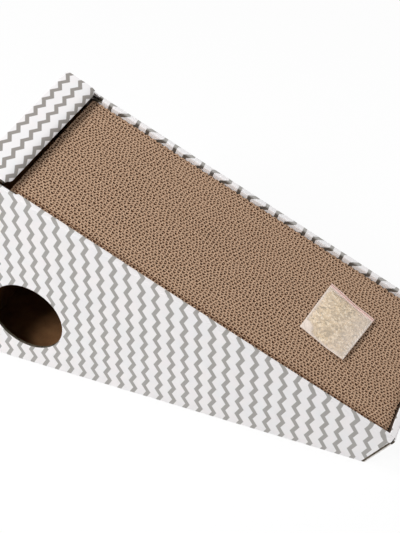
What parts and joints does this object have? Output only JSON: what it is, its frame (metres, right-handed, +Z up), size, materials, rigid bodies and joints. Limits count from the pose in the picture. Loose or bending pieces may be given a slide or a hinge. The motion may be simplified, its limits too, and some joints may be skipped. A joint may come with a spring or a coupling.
{
  "type": "cat scratcher ramp",
  "caption": "Inclined cardboard cat scratcher: folded printed carton with a round paw hole, a corrugated scratching pad on top and a small zip bag of catnip.",
  "frame": {"origin": "middle of the footprint's box, on the floor", "axes": "+Z up, +X along the ramp towards its low toe, the side with the paw hole faces -Y"},
  "size_m": [0.497, 0.2, 0.2603],
  "materials": {
    "printed_board": "white coated board printed with pale grey zigzag stripes, satin",
    "kraft_board": "unprinted brown kraft board, matte",
    "fluted_paper": "cut edges of corrugated kraft paper, matte",
    "bag_film": "clear thin film over dried herb flakes",
    "zip_plastic": "translucent pink zip closure"
  },
  "bodies": {
    "carton": {"base_panel": "printed_board", "near_side_panel": "printed_board", "far_side_panel": "printed_board", "front_panel": "printed_board", "front_rim_fold": "printed_board", "front_rim_return": "printed_board", "front_inner_flap": "printed_board", "near_rim_fold": "printed_board", "far_rim_fold": "printed_board", "near_inner_flap": "printed_board", "far_inner_flap": "printed_board", "near_pad_shelf": "kraft_board", "far_pad_shelf": "kraft_board", "back_panel": "printed_board", "near_back_tab": "kraft_board", "far_back_tab": "kraft_board"},
    "ledge": {"top_ledge": "printed_board", "ledge_lip": "printed_board"},
    "pad": {"pad_strip_01": "fluted_paper", "pad_strip_02": "fluted_paper", "pad_strip_03": "fluted_paper", "pad_strip_04": "fluted_paper", "pad_strip_05": "fluted_paper", "pad_strip_06": "fluted_paper", "pad_strip_07": "fluted_paper", "pad_strip_08": "fluted_paper", "pad_strip_09": "fluted_paper", "pad_strip_10": "fluted_paper", "pad_strip_11": "fluted_paper", "pad_strip_12": "fluted_paper", "pad_strip_13": "fluted_paper", "pad_strip_14": "fluted_paper", "pad_strip_15": "fluted_paper", "pad_strip_16": "fluted_paper", "pad_strip_17": "fluted_paper", "pad_strip_18": "fluted_paper", "pad_strip_19": "fluted_paper", "pad_strip_20": "fluted_paper", "pad_strip_21": "fluted_paper", "pad_strip_22": "fluted_paper", "pad_strip_23": "fluted_paper", "pad_strip_24": "fluted_paper", "pad_strip_25": "fluted_paper", "pad_strip_26": "fluted_paper", "pad_strip_27": "fluted_paper"},
    "bag": {"catnip_pouch": "bag_film", "bag_zip": "zip_plastic"}
  },
  "joints": [
    {"name": "ledge_fold", "type": "hinge", "parent": "carton", "child": "ledge", "pos_m": [-0.20542, 0, 0.25712], "axis": [0, -1, 0], "range_deg": [0, 150]},
    {"name": "pad_lift", "type": "slide", "parent": "carton", "child": "pad", "axis": [0.4272, 0, 0.9041], "range_m": [0, 0.09]},
    {"name": "bag_lift", "type": "slide", "parent": "pad", "child": "bag", "axis": [0.4272, 0, 0.9041], "range_m": [0, 0.06]}
  ]
}
